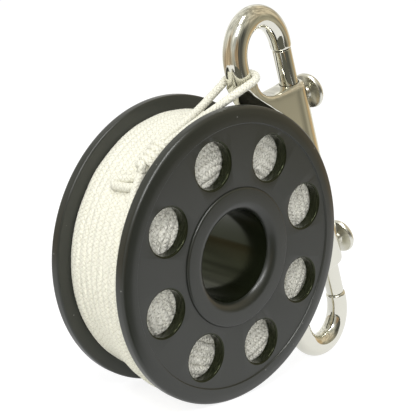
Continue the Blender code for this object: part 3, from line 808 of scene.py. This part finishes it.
def hub(finish, bore_finish_and_shade):
    end = FLANGE_SPACING / 2 + FLANGE_THICKNESS
    corners = [
        (BORE_RADIUS, end, BORE_FILLET),
        (HUB_RADIUS, end, HUB_EDGE_FILLET),
        (HUB_RADIUS, -end, HUB_EDGE_FILLET),
        (BORE_RADIUS, -end, BORE_FILLET),
    ]
    piece = turned("hub_tube", rounded(corners, 12), 160, SPOOL_AXIS, closed=True)
    piece.data.materials.append(finish)
    piece.data.materials.append(bore_finish_and_shade)
    # The bore takes the gloss plastic, a glossier finish whose darker tone is painted shade inside the
    # bore.
    for face in piece.data.polygons:
        arm = face.center - SPOOL
        if math.hypot(arm.x, arm.z) < BORE_RADIUS + BORE_FILLET * BORE_WALL_SHARE:
            face.material_index = 1
    return smooth(piece, degrees=50)


def line_bed():
    """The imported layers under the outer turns."""
    inner = HUB_RADIUS + BED_GAP
    end = FLANGE_SPACING / 2 - LINE_DIAMETER * BED_INSET
    outer = TURN_RADIUS - LINE_DIAMETER * BED_DROP
    outline = [(inner, end), (outer, end), (outer, -end), (inner, -end)]
    return turned("line_bed", outline, 96, SPOOL_AXIS, closed=True)


# Bolt snap

def hook_path(side):
    """Up the stem, round the eye and down to the tip."""
    points = [
        Vector((-HOOK_SPAN, 0, SHOULDER_HEIGHT + STEM_OVERLAP)),
        Vector((-HOOK_SPAN, 0, HOOK_ARC_FOOT - STEM_TOP_DROP)),
    ]
    half = HOOK_SPAN / 2
    for step in range(41):
        turn = math.pi * (1 - step / 40)
        height = HOOK_ARC_RISE * math.sin(turn) + HOOK_ARC_FOOT
        points.append(Vector((half * math.cos(turn) - half, 0, height)))
    points.append(Vector((0, 0, TIP_HEIGHT)))
    return [Vector((p.x, p.y, side * p.z)) for p in points]


def hook(side):
    """The bent round stock, which gets thinner from the top of the eye to the tip."""
    points = hook_path(side)
    taper = len(points) // 2
    shares = []
    for index in range(len(points)):
        late = max(0.0, (index - taper) / (len(points) - 1 - taper))
        shares.append(1 + (TIP_RADIUS / STOCK_RADIUS - 1) * late)
    piece = swept("hook", points, STOCK_RADIUS, 14, shares)
    edit()
    face_outwards(CURVE_MERGE)
    return piece


def web(side):
    """The flat web between the stem and the barrel, with a round throat."""
    top = BARREL_HALF_LENGTH - WEB_TOP_DROP
    middle = THROAT_HEIGHT + THROAT_RADIUS
    outer = HOOK_SPAN + STOCK_RADIUS - WEB_INSET
    outline = [Vector((0, WEB_FOOT_HEIGHT)), Vector((0, top))]
    for step in range(17):
        turn = -math.pi / 2 * (1 + step / 16)
        arm = Vector((math.cos(turn), math.sin(turn))) * THROAT_RADIUS
        outline.append(Vector((-THROAT_CENTRE, middle)) + arm)
    corners = [
        (-THROAT_CENTRE - THROAT_RADIUS, middle + STEM_WEB_RISE, 0),
        (-outer, middle + STEM_WEB_RISE, 0),
        (-outer, SHOULDER_HEIGHT, SHOULDER_FILLET),
        (0, WEB_FOOT_HEIGHT, 0),
    ]
    outline += rounded(corners, 8)[:-1]
    points = [Vector((p.x, -WEB_HALF_THICKNESS, side * p.y)) for p in outline]
    piece = plate("web", points, (0, 2 * WEB_HALF_THICKNESS, 0))
    work = bmesh.from_edit_mesh(piece.data)
    for face in (-1, 1):
        for vertex in work.verts:
            vertex.select_set(vertex.co.y * face > 0)
        work.select_flush_mode()
        bmesh.update_edit_mesh(piece.data)
        bpy.ops.transform.rotate(
            value=-face * WEB_WEDGE,
            orient_axis="Z",
            orient_type="GLOBAL",
            center_override=(-HOOK_SPAN, face * WEB_HALF_THICKNESS, 0),
        )
        work = bmesh.from_edit_mesh(piece.data)
    bpy.ops.mesh.select_all(action="SELECT")
    bpy.ops.mesh.normals_make_consistent(inside=False)
    bpy.ops.mesh.select_all(action="DESELECT")
    work = bmesh.from_edit_mesh(piece.data)
    for edge in work.edges:
        ends = [vertex.co for vertex in edge.verts]
        in_barrel = min(end.x for end in ends) > -BARREL_RADIUS
        in_stem = min(abs(end.z) for end in ends) > middle
        across = abs(ends[0].y - ends[1].y) > WEB_HALF_THICKNESS
        edge.select_set(not (in_barrel or in_stem or across))
    bmesh.update_edit_mesh(piece.data)
    bpy.ops.mesh.bevel(offset=WEB_EDGE_FILLET, segments=6, affect="EDGES", clamp_overlap=True)
    edit(False)
    return piece


def slot_cutter(side):
    """The slot that a knob's neck runs in, through the barrel's outer wall."""
    half = NECK_RADIUS + CLEARANCE
    outline = []
    for centre, start in ((KNOB_HEIGHT, 0.0), (KNOB_HEIGHT - BOLT_TRAVEL, math.pi)):
        for step in range(13):
            turn = start + math.pi * step / 12
            outline.append(Vector((0, half * math.cos(turn), side * (centre + half * math.sin(turn)))))
    piece = plate("slot", outline, (BARREL_RADIUS + OVERRUN, 0, 0))
    face_outwards()
    return piece


def recast(piece, iterations):
    """Makes the casting one even mesh and smooths it."""
    apply(piece, "REMESH", mode="VOXEL", voxel_size=VOXEL, use_smooth_shade=True)
    apply(piece, "SMOOTH", iterations=iterations)


def soften_webs(piece):
    """Smooths the casting where its parts flow into each other, less towards the edges of that area."""
    (left, right), (low, high) = SOFTEN_ACROSS, SOFTEN_ALONG
    group = piece.vertex_groups.new(name="webs")
    for vertex in piece.data.vertices:
        x, z = vertex.co.x, abs(vertex.co.z)
        inside = min(x - left, right - x, z - low, high - z)
        if inside > 0:
            group.add([vertex.index], min(1.0, inside / SOFTEN_FEATHER), "REPLACE")
    apply(piece, "SMOOTH", iterations=WEB_SMOOTHING, vertex_group="webs")


def shoulder_facets(piece):
    """Cuts the sloping facets that thin the casting towards the foot of each stem."""
    run = Vector((FACET_RUN[0], 0, FACET_RUN[1])).normalized()
    away = Vector((run.z, 0, -run.x))
    slope = Vector((0, -math.cos(FACET_SLOPE), 0)) + away * math.sin(FACET_SLOPE)
    spot = Vector((FACET_POINT[0], -FACET_DEPTH, FACET_POINT[1]))
    centre = Matrix.Translation(spot + slope * (FACET_BOX[1] / 2) - run * FACET_SHIFT)
    axes = Matrix((run, slope, run.cross(slope))).transposed().to_4x4()
    box = centre @ axes @ Matrix.Diagonal((*FACET_BOX, 1))
    for side in (1, -1):
        for face in (1, -1):
            deselect()
            bpy.ops.mesh.primitive_cube_add(size=1)
            cutter = bpy.context.object
            cutter.matrix_world = Matrix.Diagonal((1, face, side, 1)) @ box
            settle(cutter, "facet")
            edit()
            face_outwards()
            cut(piece, cutter, solver="MANIFOLD")


def end_turn(side):
    """Turns a shape that points up to the snap's upper end (1) or its lower one (-1)."""
    return Matrix.Rotation(0 if side > 0 else math.pi, 4, "X")


def snap_body():
    """The cast body: its parts are joined, remeshed and smoothed into one, then bored and slotted."""
    half, fillet = BARREL_HALF_LENGTH, BARREL_END_FILLET
    edge = BARREL_RADIUS
    corners = [(0, half, 0), (edge, half, fillet), (edge, -half, fillet), (0, -half, 0)]
    piece = turned("barrel", rounded(corners, 8), 64, Matrix.Identity(4))
    for side in (1, -1):
        for part in (web(side), hook(side)):
            apply(piece, "BOOLEAN", operation="UNION", object=part)
            drop(part)
    recast(piece, CASTING_SMOOTHING)
    soften_webs(piece)
    shoulder_facets(piece)
    recast(piece, FACET_SMOOTHING)
    radius, top = BOLT_RADIUS + CLEARANCE, half + OVERRUN
    bore = [(0, top), (radius, top), (radius, BORE_FOOT_HEIGHT), (0, BORE_FOOT_HEIGHT)]
    for side in (1, -1):
        cut(piece, turned("bore", bore, 48, end_turn(side)))
        cut(piece, slot_cutter(side))
    settle(piece, "snap_casting", SNAP_FRAME)
    return smooth(piece, degrees=40)


def bolt(name, side):
    top = TIP_HEIGHT - CLEARANCE - KNOB_HEIGHT
    foot = BOLT_FOOT_HEIGHT - KNOB_HEIGHT
    corners = [
        (0, top, 0),
        (BOLT_RADIUS, top, BOLT_TOP_FILLET),
        (BOLT_RADIUS, foot, BOLT_FOOT_FILLET),
        (0, foot, 0),
    ]
    place = SNAP_FRAME @ Matrix.Translation((0, 0, side * KNOB_HEIGHT)) @ end_turn(side)
    return smooth(turned(name, rounded(corners, 5), 64, place), degrees=35)


def knob(name, side):
    """The mushroom knob: a flat back, a rounded rim and a low dome, on a waisted neck."""
    face = KNOB_BACK + KNOB_THICKNESS
    corners = [
        (0, face, 0),
        (KNOB_RADIUS * KNOB_DOME_SHARE, face - KNOB_DOME, KNOB_DOME_FILLET),
        (KNOB_RADIUS, KNOB_BACK + KNOB_RIM, KNOB_RIM_FILLET),
        (KNOB_RADIUS * KNOB_BACK_SHARE, KNOB_BACK, KNOB_BACK_FILLET),
        (NECK_RADIUS, KNOB_BACK - KNOB_BACK_DISH, NECK_FILLET),
        (NECK_RADIUS, BOLT_RADIUS - NECK_DEPTH, 0),
        (0, BOLT_RADIUS - NECK_DEPTH, 0),
    ]
    place = Matrix.Translation((0, 0, side * KNOB_HEIGHT)) @ Matrix.Rotation(math.pi / 2, 4, "Y")
    return smooth(turned(name, rounded(corners, 7), 72, SNAP_FRAME @ place), degrees=40)


def spring(name, side):
    """The spring behind a pin, whose end turns lie closer."""
    low = BORE_FOOT_HEIGHT + SPRING_WIRE_RADIUS
    high = BOLT_FOOT_HEIGHT - SPRING_WIRE_RADIUS
    points = []
    count = SPRING_TURNS * SPRING_TURN_STEPS
    for step in range(count + 1):
        turn = 2 * math.pi * step / SPRING_TURN_STEPS
        share = step / count
        ends = min(1.0, min(share, 1 - share) * SPRING_TURNS)
        height = low + (high - low) * (share * ends if share < 0.5 else 1 - (1 - share) * ends)
        arm = Vector((math.cos(turn), math.sin(turn), 0)) * SPRING_RADIUS
        points.append(arm + Vector((0, 0, side * height)))
    piece = settle(swept(name, points, SPRING_WIRE_RADIUS, 3), name, SNAP_FRAME)
    bpy.ops.object.shade_smooth()
    return piece


# Finishes

class Graph:
    """A node tree, with short ways to add nodes and join them."""

    def __init__(self, tree):
        self.nodes = tree.nodes
        self.links = tree.links

    def feed(self, socket, value):
        """Gives a socket a value or another node's output."""
        if isinstance(value, bpy.types.NodeSocket):
            self.links.new(value, socket)
        else:
            socket.default_value = value

    def add(self, kind, inputs=None, **settings):
        node = self.nodes.new("ShaderNode" + kind)
        for key, value in settings.items():
            setattr(node, key, value)
        for label, value in (inputs or {}).items():
            self.feed(node.inputs[label], value)
        return node

    def math(self, operation, *values):
        return self.add("Math", dict(enumerate(values)), operation=operation).outputs[0]

    def vector(self, operation, inputs, output=0):
        return self.add("VectorMath", inputs, operation=operation).outputs[output]

    def noise(self, place, scale, detail, output="Fac"):
        inputs = {"Vector": place, "Scale": scale, "Detail": detail}
        return self.add("TexNoise", inputs).outputs[output]

    def spread(self, value, low, high, least=0.0, most=1.0, **settings):
        """Maps low to high onto least to most."""
        inputs = {"Value": value, "From Min": low, "From Max": high, "To Min": least, "To Max": most}
        return self.add("MapRange", inputs, **settings).outputs["Result"]

    def mix(self, factor, first, second, kind="RGBA"):
        inputs = {"Factor": factor, "A": first, "B": second}
        return self.add("Mix", inputs, data_type=kind).outputs["Result"]


def new_group(name, inputs, outputs):
    """A shader group with sockets of these kinds, its graph, what it is given and what it makes."""
    group = bpy.data.node_groups.new(name, "ShaderNodeTree")
    for way, sockets in (("INPUT", inputs), ("OUTPUT", outputs)):
        for label, kind in sockets.items():
            group.interface.new_socket(label, in_out=way, socket_type="NodeSocket" + kind)
    graph = Graph(group)
    given = graph.nodes.new("NodeGroupInput").outputs
    return group, graph, given, graph.nodes.new("NodeGroupOutput").inputs


def new_material(name, **values):
    """A material with these values on its Principled shader, its graph and the shader's sockets."""
    made = bpy.data.materials.new(name)
    made.use_nodes = True
    graph = Graph(made.node_tree)
    shader = graph.nodes["Principled BSDF"].inputs
    for label, value in values.items():
        shader[label.replace("_", " ")].default_value = value
    return made, graph, shader


def moulded_group():
    """Moulded plastic: a fine grain, faint cloudy patches and a little dust."""
    group, graph, given, made = new_group(
        "moulded_grain",
        {"Vector": "Vector", "Colour": "Color", "Roughness": "Float", "Dust": "Float"},
        {"Colour": "Color", "Roughness": "Float", "Height": "Float"},
    )
    place = given["Vector"]
    grain = graph.noise(place, scale=2600.0, detail=2.0)
    cloud = graph.noise(place, scale=90.0, detail=4.0)
    spots = graph.add("TexVoronoi", {"Vector": place, "Scale": 420.0}).outputs["Distance"]
    small = graph.math("LESS_THAN", spots, 0.085)
    rare = graph.math("GREATER_THAN", cloud, 0.60)
    dust = graph.math("MULTIPLY", graph.math("MULTIPLY", small, rare), given["Dust"])
    shade = graph.spread(cloud, 0.0, 1.0, 0.86, 1.16)
    tint = graph.vector("SCALE", {0: given["Colour"], "Scale": shade})
    dusty = graph.mix(graph.math("MULTIPLY", dust, 0.5), tint, (0.30, 0.30, 0.28, 1))
    rough = graph.math("ADD", graph.math("MULTIPLY", cloud, 0.16), given["Roughness"])
    graph.feed(made["Colour"], dusty)
    graph.feed(made["Roughness"], graph.math("SUBTRACT", rough, 0.08))
    graph.feed(made["Height"], grain)
    return group


def braid_group():
    """The braid's crossing strands from a UV map of turns and stitches, with loose fibres. The gaps
    between the strands take a darker colour: painted shade.
    """
    group, graph, given, made = new_group(
        "braid_stitches",
        {
            "UV": "Vector",
            "Place": "Vector",
            "Crown Colour": "Color",
            "Painted Gap Shade": "Color",
            "Crumple": "Float",
        },
        {"Colour": "Color", "Height": "Float"},
    )
    place = given["Place"]
    stray = graph.noise(place, scale=650.0, detail=1.0, output="Color")
    shift = graph.vector("MULTIPLY_ADD", {0: stray, 1: (0.07, 0.55, 0), 2: given["UV"]})
    part = graph.add("SeparateXYZ", {0: shift}).outputs
    around = graph.math("MULTIPLY", part["X"], float(STITCH_COLUMNS))
    rising = graph.math("ADD", around, part["Y"])
    falling = graph.math("SUBTRACT", around, part["Y"])
    floors = graph.math("ADD", graph.math("FLOOR", rising), graph.math("FLOOR", falling))
    over = graph.math("FLOORED_MODULO", floors, 2.0)

    def strand(value):
        inside = graph.math("FRACT", value)
        crown = graph.math("SINE", graph.math("MULTIPLY", inside, math.pi))
        fibre = graph.math("SINE", graph.math("MULTIPLY", inside, 10 * math.pi))
        return graph.math("ADD", crown, graph.math("MULTIPLY", fibre, 0.10))

    height = graph.mix(over, strand(falling), strand(rising), "FLOAT")
    fuzz = graph.noise(place, scale=5200.0, detail=3.0)
    height = graph.math("ADD", height, graph.math("MULTIPLY", fuzz, 0.35))
    crease = graph.math("SUBTRACT", graph.noise(place, scale=1500.0, detail=2.0), 0.5)
    height = graph.math("ADD", height, graph.math("MULTIPLY", crease, given["Crumple"]))
    patches = graph.noise(place, scale=130.0, detail=3.0)
    patchy = graph.math("ADD", height, graph.math("MULTIPLY", patches, 0.3))
    crowned = graph.spread(patchy, 0.25, 0.95)
    # Painted shade: the gaps between the strands take the darker colour, the crowns the line's own.
    graph.feed(made["Colour"], graph.mix(crowned, given["Painted Gap Shade"], given["Crown Colour"]))
    graph.feed(made["Height"], height)
    return group


def polish_group():
    """Polished steel: faint haze and hairline wander in the gloss."""
    group, graph, given, made = new_group(
        "polish_haze",
        {"Vector": "Vector", "Low": "Float", "High": "Float"},
        {"Roughness": "Float", "Height": "Float"},
    )
    haze = graph.noise(given["Vector"], scale=170.0, detail=5.0)
    graph.feed(made["Roughness"], graph.spread(haze, 0.35, 0.7, given["Low"], given["High"]))
    graph.feed(made["Height"], graph.noise(given["Vector"], scale=240.0, detail=1.0))
    return group


def finish_with(name, group, values, bump, distance, **shader_values):
    """A material whose Principled shader takes what it can from the group's outputs."""
    made, graph, shader = new_material(name, **shader_values)
    place = graph.add("TexCoord").outputs["Object"]
    effect = graph.add("Group", node_tree=group)
    for label, value in values.items():
        effect.inputs[label].default_value = value
    if "UV" in effect.inputs:
        graph.feed(effect.inputs["UV"], graph.add("UVMap", uv_map="braid").outputs["UV"])
        graph.feed(effect.inputs["Place"], place)
    else:
        graph.feed(effect.inputs["Vector"], place)
    for label, socket in (("Colour", "Base Color"), ("Roughness", "Roughness")):
        if label in effect.outputs:
            graph.feed(shader[socket], effect.outputs[label])
    inputs = {"Strength": bump, "Distance": distance, "Height": effect.outputs["Height"]}
    graph.feed(shader["Normal"], graph.add("Bump", inputs).outputs["Normal"])
    return made


def dress(piece, finish, body, slot, *nodes):
    """Gives a piece its finish and body, and hides the CAD nodes that it stands for. slot is not used.
    """
    if finish is not None:
        piece.data.materials.clear()
        piece.data.materials.append(finish)
    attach(piece, body)
    if nodes:
        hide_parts(*nodes)
    return piece


scene = bpy.context.scene
scene.view_settings.view_transform = "Standard"
add_camera()

moulded = moulded_group()
braid = braid_group()
polish = polish_group()
plastic, gloss_plastic_painted_shade, bounce_lit_plastic = [
    finish_with(
        name,
        moulded,
        {"Colour": tone, "Roughness": rough, "Dust": dust},
        bump,
        distance=0.0001,
        Specular_IOR_Level=gloss,
        Specular_Tint=tint,
    )
    for name, tone, rough, dust, bump, gloss, tint in (
        ("black_plastic", (0.0140, 0.0160, 0.0115, 1), 0.34, 1.0, 0.10, 0.62, (1, 1, 1, 1)),
        # Glossier plastic for the hole walls and the bore; its darker tone is painted shade inside them.
        ("gloss_plastic_painted_shade", (0.006, 0.0075, 0.0035, 1), 0.15, 0.0, 0.03, 0.36, (0.85, 0.92, 0.55, 1)),
        # Rougher and lighter plastic for the faces towards the line: the lighter tone is painted light
        # bounced off the white line.
        ("inner_face_painted_bounce", (0.030, 0.032, 0.026, 1), 0.42, 1.0, 0.10, 0.5, (1, 1, 1, 1)),
    )
]
white_line = finish_with(
    "white_braid",
    braid,
    {"Crown Colour": (0.845, 0.832, 0.71, 1), "Painted Gap Shade": (0.60, 0.572, 0.445, 1), "Crumple": 0.9},
    bump=0.85,
    distance=0.00014,
    Roughness=0.8,
    Sheen_Weight=0.25,
)
# A copy of the line for the turns seen through the flange holes: its brighter crowns are painted light,
# making up for the shade in the holes.
packed_line_painted_light = finish_with(
    "packed_braid",
    braid,
    {"Crown Colour": (0.97, 0.955, 0.86, 1), "Painted Gap Shade": (0.52, 0.50, 0.42, 1), "Crumple": 2.6},
    bump=1.0,
    distance=0.00022,
    Roughness=0.75,
    Sheen_Weight=0.15,
)
steel, knob_steel, wire = [
    finish_with(name, polish, {"Low": low, "High": high}, bump, distance, Base_Color=tone, Metallic=1.0)
    for name, low, high, bump, distance, tone in (
        ("polished_steel", 0.05, 0.11, 0.010, 0.0003, STEEL),
        ("knob_steel", 0.24, 0.34, 0.02, 0.0003, STEEL),
        ("spring_wire", 0.22, 0.35, 0.05, 0.0002, (0.55, 0.54, 0.52, 1)),
    )
]

dress(wound_turns(), white_line, "spool", "line", "line_wound")
dress(line_bed(), white_line, "spool", "line", "line_core")
# The side turns take the brighter copy of the line, painted light for the shade in the holes.
dress(wound_side("line_side_front", -1), packed_line_painted_light, "spool", "line")
dress(wound_side("line_side_rear", 1), packed_line_painted_light, "spool", "line")
dress(knot(), white_line, "spool", "line", "loop_knot")
loop = loop_strands()
loop.data.materials.append(white_line)
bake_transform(loop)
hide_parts("line_loop")

for word, side in (("front", -1), ("rear", 1)):
    disc = flange(word + "_disc", side, plastic, gloss_plastic_painted_shade, bounce_lit_plastic)
    dress(disc, None, "spool", "spool_plastic", word + "_flange")
dress(hub(plastic, gloss_plastic_painted_shade), None, "spool", "spool_plastic", "hub_sleeve")

dress(snap_body(), steel, "snap", "polished_steel", "snap_body")
for word, side in (("upper", 1), ("lower", -1)):
    dress(bolt(word + "_pin", side), steel, word + "_gate", "polished_steel", word + "_bolt")
    dress(knob(word + "_thumb_knob", side), knob_steel, word + "_gate", "polished_steel", word + "_knob")
    coil = dress(spring(word + "_coil", side), wire, "snap", "spring_steel", word + "_spring")
    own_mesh(coil)

white_world()
white_floor()
area_light("key_high", (-0.25, -0.17, 0.81), (0.13, 0.27), 2.5)
area_light("key_low", (-0.51, -0.37, 0.585), (0.13, 0.27), 2.5)
area_light("fill", (0.55, -0.45, 0.45), (0.4, 0.4), 0.8).visible_glossy = False
area_light("low_fill", (-0.65, -0.20, 0.10), (0.3, 0.2), 0.4).visible_glossy = False
room(
    (0.60, 0.585, 0.50),
    [
        (105, 22, 75, 20, (0.74, 0.64, 0.47)),
        (138, -8, 34, 20, (0.49, 0.45, 0.335)),
        (78, -4, 22, 8, (0.95, 0.94, 0.88)),
        (108, -6, 22, 7, (0.55, 0.40, 0.22)),
        (-55, -4, 62, 25, (0.56, 0.44, 0.30)),
        (-20, 35, 50, 20, (0.80, 0.79, 0.72)),
        (30, 15, 45, 20, (0.92, 0.91, 0.86)),
        (-118, 28, 40, 15, (0.78, 0.78, 0.72)),
        (-178, -4, 42, 16, (0.10, 0.10, 0.085)),
        (-146, -2, 24, 6, (0.40, 0.29, 0.18)),
        (-115, 40, 24, 8, (1.0, 1.0, 0.98)),
    ],
)
sheet("dark_sheet", -145, 0.22, (0.26, 0.20), 35, (0.13, 0.13, 0.105))
